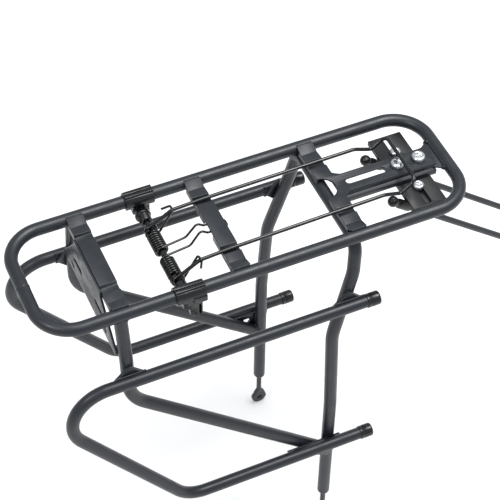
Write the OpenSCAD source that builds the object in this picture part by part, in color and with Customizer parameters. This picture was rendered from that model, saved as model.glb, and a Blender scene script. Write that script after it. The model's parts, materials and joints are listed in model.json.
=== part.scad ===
// Rear bicycle rack with a sprung bail, pannier hoops and two adjustable front stays.
// Millimetres. +X is towards the front of the bicycle, +Y is its left side, +Z is up.
// The origin is midway between the two dropout eyelets.

/* [Deck] */
// Overall length of the deck loop
deck_len = 411; // [350:1:500]
// Overall width of the deck loop
deck_w = 130; // [118:1:156]
// Outer diameter of the deck tube
tube_d = 12; // [10:0.5:14]
// Wall of every tube
tube_wall = 1.5; // [1:0.1:2.5]
// Bend radius of the deck corners, on the tube's centre line
corner_r = 33; // [25:1:45]
// Height of the deck tube's centre above the eyelets
deck_h = 395; // [360:1:480]
// How far the deck's centre lies behind the eyelets
deck_back = 60; // [50:1:80]

/* [Bridges] */
// Length of a bridge plate along the rack
bridge_w = 16; // [13:0.5:20]
// Thickness of the pressed sheet
sheet = 2; // [1.5:0.1:2.5]
// Depth of a bridge's side flanges
flange_h = 8; // [7:0.5:10]
// Distance from one bridge to the next
bridge_pitch = 110.5; // [95:0.5:120]
// Width of the groove that a bail wire lies in
groove_w = 6.4; // [5.5:0.1:8]
// Depth of that groove
groove_depth = 2.6; // [2:0.1:3]

/* [Hoops and legs] */
// Outer diameter of the pannier hoop tube
hoop_d = 11.5; // [10:0.5:12]
// Half the distance between the two upper pannier rails
rail_y = 80; // [79.8:0.1:84]
// Drop from the deck to the upper pannier rails
rail_drop = 66.5; // [62:0.5:72]
// Half the distance between the two lower pannier rails
low_rail_y = 91.5; // [91.3:0.1:96]
// Drop from the deck to the lower pannier rails
low_rail_drop = 256; // [240:1:265]
// Bend radius of the hoops
hoop_r = 35; // [25:1:38]
// Outer diameter of the legs
leg_d = 12; // [11:0.5:12]
// Distance between the two dropout eyelets
eyelet_span = 159; // [158:0.5:160]
// Bore of the dropout eyelets
eyelet_bore = 5.4; // [5.2:0.1:6.4]

/* [Bail and spring] */
// Wire of the bail
bail_d = 3.5; // [3:0.1:4]
// Half the width between the bail's wires, at the spring
bail_y = 31.5; // [31:0.1:32]
// Wire of the torsion spring
spring_d = 2.2; // [1.8:0.1:2.3]
// Mean radius of the spring's coils
coil_r = 5.6; // [5.4:0.1:6.6]
// Turns in each coil
coil_turns = 8; // [6:1:9]
// Diameter of the spring's axle
axle_d = 6; // [5:0.1:6.2]

/* [Front stays] */
// Width of the adapter crossbar along the rack
crossbar_w = 33; // [30:0.5:36]
// Length of the crossbar across the rack
crossbar_len = 92; // [88:1:94]
// Diameter of the stay rods
stay_d = 6; // [5:0.1:6.5]
// Length of a stay from the ball of its boot to its eye
stay_len = 232; // [180:1:280]
// Slope of the stays below the horizontal, at rest
stay_slope = 39.6; // [36:0.1:42]
// Half the distance between the two stays
stay_y = 27.6; // [27:0.1:28.5]
// Bore of the stays' eyes
stay_bore = 5.4; // [5.2:0.1:6.4]

/* [Hidden] */
$fn = 48;

fit = 0.05;          // radial clearance of a shaft in its bore
gap = 0.35;          // clearance between pieces that move past each other
cut = 1;             // how far a cutter runs past the face it opens
swell = 0.04;        // bends are this much thicker than the straights that run into them

// deck loop, in the deck's own frame
half_l = deck_len / 2 - tube_d / 2;
half_w = deck_w / 2 - tube_d / 2;
bead = 0.3;          // height of the butt weld's bead
vent_d = 4;          // weld vent in each closed tube

// bridges, in the deck's own frame
top_z = tube_d / 2 - 1.4;   // top face of a bridge
end_in = 3.9;        // from the deck tube's centre line to a bridge's end
end_y = half_w - end_in;
// the ends climb until their underside meets the deck tube
end_rise = sqrt(pow(tube_d / 2, 2) - pow(end_in, 2)) + sheet + 0.04 - top_z;
ramp_y = end_y - 9.5;
valley = 1.6;        // dip between a groove's rim and the rise to the deck tube
groove_y = 31.3;     // where the bail's wires cross
slant = 1;           // run of a groove's sloping sides
flange_end = half_w - tube_d / 2 - 2.5;
mid_x = -22.3;
rear_x = mid_x - bridge_pitch;
front_x = mid_x + bridge_pitch;

// tongue of the front bridge
tongue_x0 = front_x + bridge_w / 2;
tongue_x1 = half_l - tube_d / 2 - 6.4;
tongue_top = 10.5;   // half width of its flat top
tongue_low = 15;     // half width at its flanges' feet
tongue_foot = -6;    // the feet stand on the crossbar
tab_y = 17;          // half width of the tab welded to the deck tube
slot_w = 6.5;
slot_x = [tongue_x0 + 10.2, tongue_x0 + 43.4];
half_round = 12.5;   // cut-out in the bridge's rear edge
bolt_x = [half_l - 44.9, half_l - 23.9];

// front legs, in the deck's own frame
foot_x = deck_back;
foot_y = eyelet_span / 2;
foot_z = -deck_h;
leg_end_z = foot_z + 41;
arch_z = -6.2;
rail_touch = (leg_d + hoop_d) / 2 + gap;
leg_pass_y = rail_y - rail_touch;
arch_half = [[84.5, half_w + 0.5, arch_z], [80.5, leg_pass_y - 2, -38],
             [61, foot_y - 8, -112], [foot_x, foot_y, -205], [foot_x, foot_y, leg_end_z]];
arch_path = concat(reversed(flip(arch_half)), arch_half);
arch_bends = [0, 60, 60, 60, 16, 16, 60, 60, 60, 0];

// rear legs, in the deck's own frame
rear_leg_x = rear_x - bridge_w / 2 + leg_d / 2;
rear_path = [[rear_leg_x, half_w - 0.5, -2], [rear_leg_x, leg_pass_y - 0.9, -52],
             [rear_leg_x, leg_pass_y + 1.8, -102], [foot_x, foot_y - 0.2, -282]];
rear_bends = [0, 40, 40, 0];

// pannier hoops, in the deck's own frame
rail_tip = 98;       // where the tubes end at the front
hoop_back = 224.6;   // corner of the upper rail and the diagonal
low_back = 91;       // corner of the diagonal and the lower rail
hoop_path = [[rail_tip, rail_y, -rail_drop], [-hoop_back, rail_y, -rail_drop],
             [-low_back, low_rail_y, -low_rail_drop], [rail_tip, low_rail_y, -low_rail_drop]];
hoop_bends = [0, hoop_r, hoop_r, 0];
cap_len = 13;
cap_wall = 0.8;

// webs at the crossings of legs and rails
web_t = 3.6;
web_r = 14.5;
cross_rear = rear_leg_x;
cross_front = 73;

// lamp plate, across the rear legs
lamp_x = rear_x - bridge_w / 2 - sheet;
lamp_top = [32, top_z - 6];
lamp_low = [half_w, -47];
lamp_r = 5;
lamp_slot_y = 25;
lamp_slot_z = -24;
lamp_slot_len = 20;
lamp_hole_y = 40;
lamp_hole_z = -38;
lamp_bore = 5.5;

// spring axle, in the deck's own frame
axle_x = -72.5;
axle_z = -12;
boss_d = 11.5;
boss_y = 38.5;
spring_slip = -2.6;  // the bail and its spring sit this far off centre on the axle
eye_r = axle_d / 2 + fit + bail_d / 2;
hook_y = bail_y - bail_d / 2 - spring_d / 2 - 0.15;
coil_out = hook_y - spring_d - gap;
coil_in = 5;
coil_sag = min(1, coil_r - spring_d / 2 - axle_d / 2 - fit);
coil_z = axle_z - coil_sag;
leg_y = 4.5;         // half the width of the spring's leg
bracket_len = 27;
bracket_wall = 2.2;
lug_z = -28;

// bail, in the deck's own frame
bend_at = [-51.1, 2.4];
bail_tilt = atan2(bend_at.y - axle_z, bend_at.x - axle_x);
eye_tilt = bail_tilt - asin(eye_r / norm([bend_at.x - axle_x, bend_at.y - axle_z]));
hook_tilt = atan2(bend_at.y - coil_z, bend_at.x - axle_x)
          + asin(coil_r / norm([bend_at.x - axle_x, bend_at.y - coil_z]));
bail_mid = [mid_x, top_z - groove_depth + bail_d / 2 + gap + 0.2];
kink_x = half_l - 73.6;
kink_z = 7.3;
dip_x = half_l - 56.4;
dip_z = 1.4;
grip_x = half_l - 42.6;
grip_z = 13;
grip_y = bail_y - 2;
bail_side = [[bend_at.x, bail_y, bend_at.y], [bail_mid.x, bail_y - 0.2, bail_mid.y],
             [kink_x, bail_y - 1, kink_z], [dip_x, grip_y, dip_z]];

// crossbar, in the deck's own frame
bar_t = 2.5;
bar_z = tongue_foot - bar_t;
bar_x = half_l - 34.6;
bar_flange = 5;
bar_slot_y = [19.5, 41];
bar_slot_w = 5.6;
bolt_d = 6;
bolt_head_d = 13;
stay_head_d = 10.6;
stay_bolt_d = 5;
stay_bolt_y = 22.6;
plate_t = 3;
plate_w = 15;

// stay hangers, in the deck's own frame
pivot_x = bar_x;
pivot_z = -32;
hanger_in = 14.5;    // inner face of a hanger's cheek
hanger_out = 28.2;   // outer edge of the left one's top plate
hanger_far = 41.5;   // outer edge of the right one's, which covers its slot
hanger_t = 2.5;
hanger_w = 14;
barrel_out = 33;
barrel_head = 9;
barrel_d = 12;
trunnion_d = 5;
ball_back = 36;      // from the pivot back to the ball of the boot
boot_d = 9.2;
ball_d = 10.2;
boot_len = 22;
eye_d = 13;
eye_t = 3;

// ------------------------------------------------------------ helpers

function unit(v) = v / norm(v);
function flip(p) = [for (q = p) [q.x, -q.y, q.z]];
function reversed(p) = [for (i = [len(p) - 1 : -1 : 0]) p[i]];
function turn(a, b, c) = acos(unit(b - a) * unit(c - b));
function lap(r) = sqrt(r * swell / 4);
function back_off(p, r, i) = i == 0 || i == len(p) - 1 ? 0 : r[i] * tan(turn(p[i - 1], p[i], p[i + 1]) / 2);

module on_deck() translate([-deck_back, 0, deck_h]) children();

// children stand on a and point at b
module along(a, b) {
    v = b - a;
    translate(a) rotate([0, acos(v.z / norm(v)), atan2(v.y, v.x)]) children();
}

module bar(a, b, d, lead = 0) along(a, b) translate([0, 0, -lead]) cylinder(d = d, h = norm(b - a) + 2 * lead);

// the bend between a-b and b-c, of centre line radius r
module bend(a, b, c, r, d) {
    u = unit(b - a);
    w = unit(c - b);
    n = unit(w - (u * w) * u);
    z = cross(-n, u);
    o = b - u * r * tan(turn(a, b, c) / 2) + r * n;
    multmatrix([[-n.x, u.x, z.x, o.x], [-n.y, u.y, z.y, o.y], [-n.z, u.z, z.z, o.z], [0, 0, 0, 1]])
        rotate_extrude(angle = turn(a, b, c)) translate([r, 0]) circle(d = d);
}

// a round bar of diameter d through the points p, bent to the radii r
module bent_bar(p, r, d, lead = 0) {
    last = len(p) - 2;
    for (i = [0 : last]) {
        u = unit(p[i + 1] - p[i]);
        a = i == 0 ? -lead : back_off(p, r, i) - lap(r[i]);
        b = norm(p[i + 1] - p[i]) - (i == last ? -lead : back_off(p, r, i + 1) - lap(r[i + 1]));
        assert(b - a > 2 * lap(r[i]), str("bends run into each other at ", p[i]));
        bar(p[i] + a * u, p[i] + b * u, d);
    }
    for (i = [1 : last]) bend(p[i - 1], p[i], p[i + 1], r[i], d + swell);
}

module bent_tube(p, r, d) difference() {
    bent_bar(p, r, d);
    bent_bar(p, r, d - 2 * tube_wall, cut);
}

module loop_bar(d) {
    for (s = [-1, 1]) {
        bar([-half_l + corner_r, s * half_w, 0], [half_l - corner_r, s * half_w, 0], d);
        bar([s * half_l, -half_w + corner_r, 0], [s * half_l, half_w - corner_r, 0], d);
    }
    for (k = [0 : 3])
        translate([(k == 0 || k == 3 ? 1 : -1) * (half_l - corner_r),
                   (k < 2 ? 1 : -1) * (half_w - corner_r), 0])
            rotate([0, 0, 90 * k]) rotate_extrude(angle = 90) translate([corner_r, 0]) circle(d = d);
}

// the deck's tube, as a cutter
module deck_cutter() loop_bar(tube_d);

module slot(a, b, w, h) {
    for (p = [a, b]) translate(p) cylinder(d = w, h = h, center = true);
    translate((a + b) / 2) rotate([0, 0, atan2(b.y - a.y, b.x - a.x)])
        cube([norm(b - a), w, h], center = true);
}

module pan_bolt(d, head, length) {
    head_h = head * 0.34;
    difference() {
        union() {
            cylinder(d = head, h = head_h * 0.55);
            translate([0, 0, head_h * 0.55]) cylinder(d1 = head, d2 = head * 0.62, h = head_h * 0.45);
            translate([0, 0, -length]) cylinder(d = d, h = length);
        }
        translate([0, 0, head_h * 0.4]) cylinder(d = head * 0.42, h = head_h, $fn = 6);
    }
}

module hex_nut(d, across, h) difference() {
    cylinder(d = across / cos(30), h = h, $fn = 6);
    translate([0, 0, -cut]) cylinder(d = d + 2 * fit, h = h + 2 * cut);
}

// ------------------------------------------------------------ welded frame

module deck_loop() color([0.2, 0.21, 0.235]) on_deck() difference() {
    union() {
        loop_bar(tube_d);
        translate([-half_l, 0, 0]) rotate([90, 0, 0]) cylinder(d = tube_d + 2 * bead, h = 1.6, center = true);
    }
    loop_bar(tube_d - 2 * tube_wall);
    translate([-half_l, 14, -tube_d]) cylinder(d = vent_d, h = tube_d);
}

// one side of a bridge's top line, from its middle outwards
function top_line(s) = [[s * (groove_y - groove_w / 2 - 2 * slant), top_z],
                        [s * (groove_y - groove_w / 2), top_z - groove_depth],
                        [s * (groove_y + groove_w / 2), top_z - groove_depth],
                        [s * (groove_y + groove_w / 2 + slant), top_z],
                        [s * ramp_y, top_z - valley], [s * end_y, top_z + end_rise]];
function lowered(p, h) = [for (q = p) [q.x, q.y - h]];
function bridge_line() = concat(reversed(top_line(-1)), top_line(1));

// stands a Y-Z profile up and gives it the thickness t along X
module across(x, t) translate([x, 0, 0]) rotate([90, 0, 90]) linear_extrude(t) children();

module bridge(x) {
    difference() {
        union() {
            across(x - bridge_w / 2, bridge_w)
                polygon(concat(bridge_line(), reversed(lowered(bridge_line(), sheet))));
            for (side = [-bridge_w / 2, bridge_w / 2 - sheet]) across(x + side, sheet) intersection() {
                polygon(concat(bridge_line(), [[end_y, top_z - flange_h], [-end_y, top_z - flange_h]]));
                translate([-flange_end, top_z - flange_h]) square([2 * flange_end, flange_h + end_rise]);
            }
        }
        deck_cutter();
    }
}

module rear_bridge() color([0.19, 0.2, 0.22]) on_deck() bridge(rear_x);

// the spring's leg hooks under this one, so its flanges are open in the middle
module middle_bridge() color([0.19, 0.2, 0.22]) on_deck() difference() {
    bridge(mid_x);
    translate([mid_x, 0, top_z - sheet - flange_h / 2]) cube([bridge_w + cut, 20, flange_h], center = true);
}

tongue_line = [[tongue_top, top_z], [tongue_top + 1.5, top_z - 1.6], [tongue_top + 1.5, top_z - 4.2],
               [tongue_low, top_z - 5.8], [tongue_low, tongue_foot]];

module tongue() {
    mirrored = [for (q = tongue_line) [-q.x, q.y]];
    inner = [for (q = reversed(tongue_line)) [q.x - sheet, min(q.y, top_z - sheet)]];
    inner_mirrored = [for (q = reversed(inner)) [-q.x, q.y]];
    across(tongue_x0 - sheet, tongue_x1 - tongue_x0 + sheet)
        polygon(concat(reversed(mirrored), tongue_line, inner, inner_mirrored));
    // fillets into the bridge, and the tab that is welded to the deck tube
    translate([0, 0, top_z - sheet]) linear_extrude(sheet)
        polygon([[tongue_x0 - sheet, -tab_y], [tongue_x0 + 2, -tongue_top - 3], [tongue_x0 + 7, -tongue_top],
                 [tongue_x0 + 7, tongue_top], [tongue_x0 + 2, tongue_top + 3], [tongue_x0 - sheet, tab_y]]);
    translate([0, 0, top_z - 2 * sheet]) linear_extrude(sheet)
        polygon([[tongue_x1 - 4, -tongue_top - 1], [tongue_x1 + 4, -tab_y], [half_l, -tab_y],
                 [half_l, tab_y], [tongue_x1 + 4, tab_y], [tongue_x1 - 4, tongue_top + 1]]);
}

module front_bridge() color([0.19, 0.2, 0.22]) on_deck() difference() {
    union() {
        bridge(front_x);
        tongue();
    }
    slot([slot_x[0], 0, top_z], [slot_x[1], 0, top_z], slot_w, 3 * sheet);
    translate([front_x - bridge_w / 2, 0, -flange_h]) cylinder(r = half_round, h = 3 * flange_h);
    for (x = bolt_x) translate([x, 0, 0]) cylinder(d = bolt_d + 2 * fit, h = 4 * flange_h, center = true);
    bent_bar(arch_path, arch_bends, leg_d);
    bar([half_l, -half_w, 0], [half_l, half_w, 0], tube_d);
}

module front_leg_arch() color([0.21, 0.22, 0.245]) on_deck() difference() {
    bent_tube(arch_path, arch_bends, leg_d);
    deck_cutter();
}

// one front leg below the deck, as a cutter
module front_leg(s) bent_bar(s > 0 ? arch_half : flip(arch_half), [0, 60, 60, 60, 0], leg_d);

module rear_leg(s) color([0.21, 0.22, 0.245]) on_deck() {
    difference() {
        bent_tube(s > 0 ? rear_path : flip(rear_path), rear_bends, leg_d);
        deck_cutter();
        front_leg(s);
    }
}
module rear_leg_left() rear_leg(1);
module rear_leg_right() rear_leg(-1);

module side_hoop(s) color([0.2, 0.21, 0.235]) on_deck() difference() {
    bent_tube(s > 0 ? hoop_path : flip(hoop_path), hoop_bends, hoop_d);
    translate([38.8, s * rail_y, -rail_drop - hoop_d]) cylinder(d = vent_d, h = hoop_d);
}
module side_hoop_left() side_hoop(1);
module side_hoop_right() side_hoop(-1);

// diamond webs that join each leg to the upper rail it passes
module webs(s) color([0.23, 0.24, 0.265]) on_deck() difference() {
    for (x = [cross_rear, cross_front])
        translate([x, s * (rail_y - hoop_d / 2), -rail_drop]) rotate([90, 0, 0])
            linear_extrude(web_t, center = true)
                polygon([[-web_r, 0], [0, -web_r], [web_r, 0], [0, web_r]]);
    bar([-half_l, s * rail_y, -rail_drop], [half_l, s * rail_y, -rail_drop], hoop_d);
    bent_bar(s > 0 ? rear_path : flip(rear_path), rear_bends, leg_d);
    front_leg(s);
}
module webs_left() webs(1);
module webs_right() webs(-1);

// web with a six-sided window, between the lower rail, the rear leg and the front leg
module foot_web(s) color([0.23, 0.24, 0.265]) on_deck() difference() {
    translate([0, s * (low_rail_y + foot_y) / 2, 0]) rotate([90, 0, 0])
        linear_extrude(web_t, center = true) difference() {
            polygon([[foot_x - 46, -low_rail_drop + 2], [foot_x + 10, -low_rail_drop + 2],
                     [foot_x + 8, -low_rail_drop - 14], [foot_x - 3, -low_rail_drop - 26]]);
            translate([foot_x - 14, -low_rail_drop - 8.4]) scale(1) circle(r = 5, $fn = 6);
        }
    bar([-half_l, s * low_rail_y, -low_rail_drop], [half_l, s * low_rail_y, -low_rail_drop], hoop_d);
    bent_bar(s > 0 ? rear_path : flip(rear_path), rear_bends, leg_d);
    front_leg(s);
}
module foot_web_left() foot_web(1);
module foot_web_right() foot_web(-1);

module lamp_plate() color([0.3, 0.31, 0.34]) on_deck() difference() {
    across(lamp_x, sheet) {
        polygon([[-lamp_top.x, lamp_top.y], [-lamp_low.x - lamp_r, lamp_low.y + lamp_r],
                 [-lamp_low.x, lamp_low.y], [lamp_low.x, lamp_low.y],
                 [lamp_low.x + lamp_r, lamp_low.y + lamp_r], [lamp_top.x, lamp_top.y],
                 [lamp_top.x, top_z - 1], [-lamp_top.x, top_z - 1]]);
        for (s = [-1, 1]) translate([s * lamp_low.x, lamp_low.y + lamp_r]) circle(r = lamp_r);
    }
    rotate([0, 90, 0]) for (s = [-1, 1]) {
        slot([-lamp_slot_z, s * (lamp_slot_y - lamp_slot_len / 2 + lamp_bore / 2), lamp_x],
             [-lamp_slot_z, s * (lamp_slot_y + lamp_slot_len / 2 - lamp_bore / 2), lamp_x], lamp_bore, 5 * sheet);
        translate([-lamp_hole_z, s * lamp_hole_y, lamp_x]) cylinder(d = lamp_bore, h = 5 * sheet, center = true);
    }
}

// spigot, neck and eyelet at the foot of a front leg
module dropout_tip(s) color([0.22, 0.23, 0.255]) on_deck() translate([foot_x, s * foot_y, 0]) {
    spigot_d = leg_d - 2 * tube_wall;
    neck_d = 5.2;
    neck_top = leg_end_z - 5;
    difference() {
        union() {
            translate([0, 0, leg_end_z]) cylinder(d = spigot_d, h = 14);
            translate([0, 0, neck_top]) cylinder(d1 = neck_d, d2 = leg_d, h = 5);
            translate([0, 0, foot_z + 7]) cylinder(d = neck_d, h = neck_top - foot_z - 7);
            rotate([90, 0, 0]) linear_extrude(4, center = true) {
                translate([0, foot_z]) circle(r = 8);
                polygon([[-2.6, foot_z + 14], [2.6, foot_z + 14], [7, foot_z + 4], [-7, foot_z + 4]]);
            }
        }
        translate([0, 0, foot_z]) rotate([90, 0, 0]) cylinder(d = eyelet_bore, h = 4 * leg_d, center = true);
        for (t = [-1, 1]) translate([0, t * 7, foot_z]) cube([20, 10, 22], center = true);
    }
}
module dropout_tip_left() dropout_tip(1);
module dropout_tip_right() dropout_tip(-1);

module rail_cap(at) translate([at.x - cap_len + 3, at.y, at.z]) rotate([0, 90, 0]) {
    r = hoop_d / 2 + cap_wall;
    rim = 1.8;
    difference() {
        rotate_extrude() {
            square([r, cap_len - rim]);
            square([r - rim, cap_len]);
            translate([r - rim, cap_len - rim]) circle(r = rim);
        }
        translate([0, 0, -cut]) cylinder(d = hoop_d, h = cap_len - 3 + cut);
    }
}
module hoop_caps() color([0.08, 0.08, 0.09]) on_deck()
    for (s = [-1, 1]) {
        rail_cap([rail_tip, s * rail_y, -rail_drop]);
        rail_cap([rail_tip, s * low_rail_y, -low_rail_drop]);
    }

// ------------------------------------------------------------ spring clamp

module spring_bracket(s) color([0.09, 0.09, 0.1]) on_deck() mirror([0, s > 0 ? 0 : 1, 0]) difference() {
    r = tube_d / 2 + bracket_wall;
    union() {
        translate([axle_x - bracket_len / 2, half_w, 0]) rotate([0, 90, 0]) cylinder(r = r, h = bracket_len);
        translate([axle_x - bracket_len / 2, half_w - 4, 0]) cube([bracket_len, 8, r + 0.2]);
        // boss for the axle, with a collar, and the block that carries it
        translate([axle_x, boss_y, axle_z]) rotate([-90, 0, 0]) cylinder(d = boss_d, h = half_w + 5 - boss_y);
        translate([axle_x, half_w - 13, axle_z]) rotate([-90, 0, 0]) cylinder(d = boss_d + 3, h = 4);
        translate([axle_x, half_w, -10]) cube([14, 10, 10], center = true);
        // lip and lug on the outer side, where the two halves are drawn together
        translate([axle_x + 1, half_w + 2, -7]) cube([bracket_len / 2 - 1, r - 1, 7]);
        translate([axle_x + 4.5, half_w + 5, 0]) rotate([90, 0, 0]) linear_extrude(6)
            polygon([[-8.5, -4], [-6, -15], [-5, lug_z + 2], [-3.5, lug_z], [5, lug_z + 1], [6, lug_z + 3], [6, -4]]);
    }
    bar([-half_l, half_w, 0], [half_l, half_w, 0], tube_d + 2 * fit);
    translate([axle_x, boss_y - cut, axle_z]) rotate([-90, 0, 0])
        cylinder(d = axle_d + 2 * fit, h = half_w - boss_y + 2 * cut);
    translate([axle_x + 8, half_w + 3.5, lug_z + 6]) cube([1.3, 8, 16], center = true);
    translate([axle_x, half_w, r + 0.2]) cube([2 * bracket_len, 0.5, 1], center = true);
}
module spring_bracket_left() spring_bracket(1);
module spring_bracket_right() spring_bracket(-1);

module spring_axle() color([0.14, 0.14, 0.15]) on_deck()
    bar([axle_x, -half_w, axle_z], [axle_x, half_w, axle_z], axle_d);

// coil: wire swept along a helix about the axle, one ring of sides per step
steps = 20;
sides = 8;
coil_pitch = (coil_out - coil_in) / coil_turns;
function coil_ring(i) = [for (k = [0 : sides - 1])
    let (a = 90 + 360 * i / steps, q = 360 * k / sides,
         r = coil_r + spring_d / 2 * cos(q))
    [r * cos(a), coil_in + coil_pitch * i / steps + spring_d / 2 * sin(q), r * sin(a)]];

module coil() {
    n = coil_turns * steps;
    side_faces = [for (i = [0 : n - 1], k = [0 : sides - 1])
        let (a = i * sides + k, b = i * sides + (k + 1) % sides) [a, b, b + sides, a + sides]];
    ends = [[for (k = [sides - 1 : -1 : 0]) k], [for (k = [0 : sides - 1]) n * sides + k]];
    polyhedron(points = [for (i = [0 : n]) each coil_ring(i)], faces = concat(side_faces, ends), convexity = 10);
}

module spring_coils() color([0.1, 0.1, 0.11]) on_deck() translate([axle_x, spring_slip, coil_z])
    for (s = [0, 1]) mirror([0, s, 0]) coil();

// the wire that joins the two coils and presses up under the middle bridge
leg_top = coil_z + coil_r;
leg_under = top_z - sheet - spring_d / 2;
leg_tip = mid_x + bridge_w / 2 + 1;
function leg_half(slip) = [[axle_x, coil_in + slip, leg_top], [-49, leg_y + 0.7, -7.1], [-39, leg_y, 6.4],
                           [-32.5, leg_y, leg_under], [leg_tip, leg_y, leg_under]];

module spring_leg() color([0.1, 0.1, 0.11]) on_deck()
    bent_bar(concat(leg_half(spring_slip), reversed(flip(leg_half(-spring_slip)))),
             [0, 5, 3, 3, 3, 3, 3, 3, 5, 0], spring_d);

// a ring about the axle that ends where a wire leaves it at the angle tilt
module axle_ring(y, z, r, d, sweep, tilt) translate([axle_x, y, z])
    rotate([-90, 0, 0]) mirror([0, 1, 0]) rotate([0, 0, tilt])
        rotate_extrude(angle = sweep) translate([r, 0]) circle(d = d + swell);

grip_corner = [grip_x, grip_y, grip_z];
eye_exit = [axle_x - eye_r * sin(eye_tilt), bail_y, axle_z + eye_r * cos(eye_tilt)];
eye_way = [cos(eye_tilt), 0, sin(eye_tilt)];
function bail_half(slip) = concat([eye_exit + [0, slip, 0], eye_exit + 5 * eye_way + [0, slip, 0]],
                                  bail_side, [grip_corner]);
bail_bends = [0, 20, 12, 40, 12, 5, 6];

module bail() color([0.08, 0.08, 0.09]) on_deck() {
    bent_bar(concat(bail_half(spring_slip), reversed(flip(bail_half(-spring_slip)))),
             concat(bail_bends, reversed(bail_bends)), bail_d, lap(eye_r));
    for (s = [0, 1]) mirror([0, s, 0])
        axle_ring(bail_y + (1 - 2 * s) * spring_slip, axle_z, eye_r, bail_d, 290, eye_tilt + 90);
}

// outer ends of the spring: up from under the axle, and over the bail's wires
hook_lift = (bail_d + spring_d) / 2;
hook_over = bail_y + hook_lift;
hook_tail = [[[bend_at.x - 0.5, hook_over, bend_at.y + hook_lift], [bend_at.x - 9, hook_over + 1, bend_at.y + 1]],
             [[bend_at.x + 0.6, hook_over, bend_at.y + hook_lift], [bend_at.x - 0.6, hook_over + 1, bend_at.y - 6]]];
module spring_hooks() color([0.1, 0.1, 0.11]) on_deck() for (s = [0, 1]) mirror([0, s, 0]) {
    y = hook_y + (1 - 2 * s) * spring_slip;
    exit = [axle_x + coil_r * sin(hook_tilt), y, coil_z - coil_r * cos(hook_tilt)];
    bent_bar(concat([exit, exit + 5 * [cos(hook_tilt), 0, sin(hook_tilt)],
                     [bend_at.x - 0.6, hook_y, bend_at.y + hook_lift]], hook_tail[s]),
             [0, 20, 1.6, 1.6, 0], spring_d, lap(coil_r));
    axle_ring(y, coil_z, coil_r, spring_d, 200, hook_tilt - 90 - 200);
}

// ------------------------------------------------------------ crossbar and its bolts

module crossbar() color([0.11, 0.11, 0.12]) on_deck() difference() {
    union() {
        translate([bar_x - crossbar_w / 2, -crossbar_len / 2, bar_z]) cube([crossbar_w, crossbar_len, bar_t]);
        translate([bar_x - crossbar_w / 2, -crossbar_len / 2, tongue_foot - bar_flange])
            cube([bar_t, crossbar_len, bar_flange]);
    }
    for (s = [-1, 1])
        slot([bar_x, s * bar_slot_y[0], bar_z], [bar_x, s * bar_slot_y[1], bar_z], bar_slot_w, 5 * bar_t);
    // the flange makes way for the backing plate
    translate([bar_x - crossbar_w / 2 - cut, -plate_w / 2 - gap, bar_z - bar_flange])
        cube([crossbar_w / 2, plate_w + 2 * gap, bar_flange]);
    for (x = bolt_x) translate([x, 0, bar_z]) cylinder(d = bolt_d + 2 * fit, h = 5 * bar_t, center = true);
}

// strap under the crossbar that spreads the load of the two tongue bolts
module backing_plate() color([0.13, 0.13, 0.14]) on_deck() difference() {
    translate([0, 0, bar_z - plate_t]) {
        slot([bolt_x[0] - 1.5, 0, plate_t / 2], [bolt_x[1], 0, plate_t / 2], plate_w, plate_t);
    }
    for (x = bolt_x) translate([x, 0, bar_z]) cylinder(d = bolt_d + 2 * fit, h = 5 * plate_t, center = true);
}

module tongue_bolts() color([0.75, 0.75, 0.76]) on_deck()
    for (x = bolt_x) translate([x, 0, top_z]) pan_bolt(bolt_d, bolt_head_d, top_z - bar_z + plate_t + 6.5);

module tongue_nuts() color([0.7, 0.7, 0.72]) on_deck()
    for (x = bolt_x) translate([x, 0, bar_z - plate_t - 5]) hex_nut(bolt_d, 10, 5);

// ------------------------------------------------------------ front stays

module stay_hanger(s) color([0.12, 0.12, 0.13]) on_deck() translate([pivot_x, 0, 0])
    mirror([0, s > 0 ? 0 : 1, 0]) {
        top = bar_z - gap;
        outer = s > 0 ? hanger_out : hanger_far;
        difference() {
            union() {
                translate([-hanger_w / 2, hanger_in, top - hanger_t])
                    cube([hanger_w, outer - hanger_in, hanger_t]);
                translate([-hanger_w / 2, hanger_in, pivot_z]) cube([hanger_w, hanger_t, top - pivot_z]);
                translate([0, hanger_in, pivot_z]) rotate([-90, 0, 0]) cylinder(d = hanger_w, h = hanger_t);
            }
            translate([0, 0, pivot_z]) rotate([-90, 0, 0])
                cylinder(d = trunnion_d + 2 * fit, h = 2 * hanger_in);
            translate([0, stay_bolt_y, top]) cylinder(d = stay_bolt_d + 2 * fit, h = 20, center = true);
        }
    }
module stay_hanger_left() stay_hanger(1);
module stay_hanger_right() stay_hanger(-1);

// bolt through the crossbar's slot, with its nut under the hanger
module stay_bolt(s) color([0.75, 0.75, 0.76]) on_deck() translate([pivot_x, s * stay_bolt_y, 0]) {
    nut_z = bar_z - gap - hanger_t - 4;
    translate([0, 0, tongue_foot + gap]) pan_bolt(stay_bolt_d, stay_head_d, tongue_foot + gap - nut_z + 1);
    difference() {
        translate([0, 0, nut_z]) cylinder(d = 8 / cos(30), h = 4, $fn = 6);
        translate([0, 0, nut_z - cut]) cylinder(d = stay_bolt_d - 0.2, h = 4 + 2 * cut);
    }
}
module stay_bolt_left() stay_bolt(1);
module stay_bolt_right() stay_bolt(-1);

module stay_frame(s) translate([pivot_x, s * stay_y, pivot_z]) rotate([0, stay_slope, 0]) children();

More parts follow.
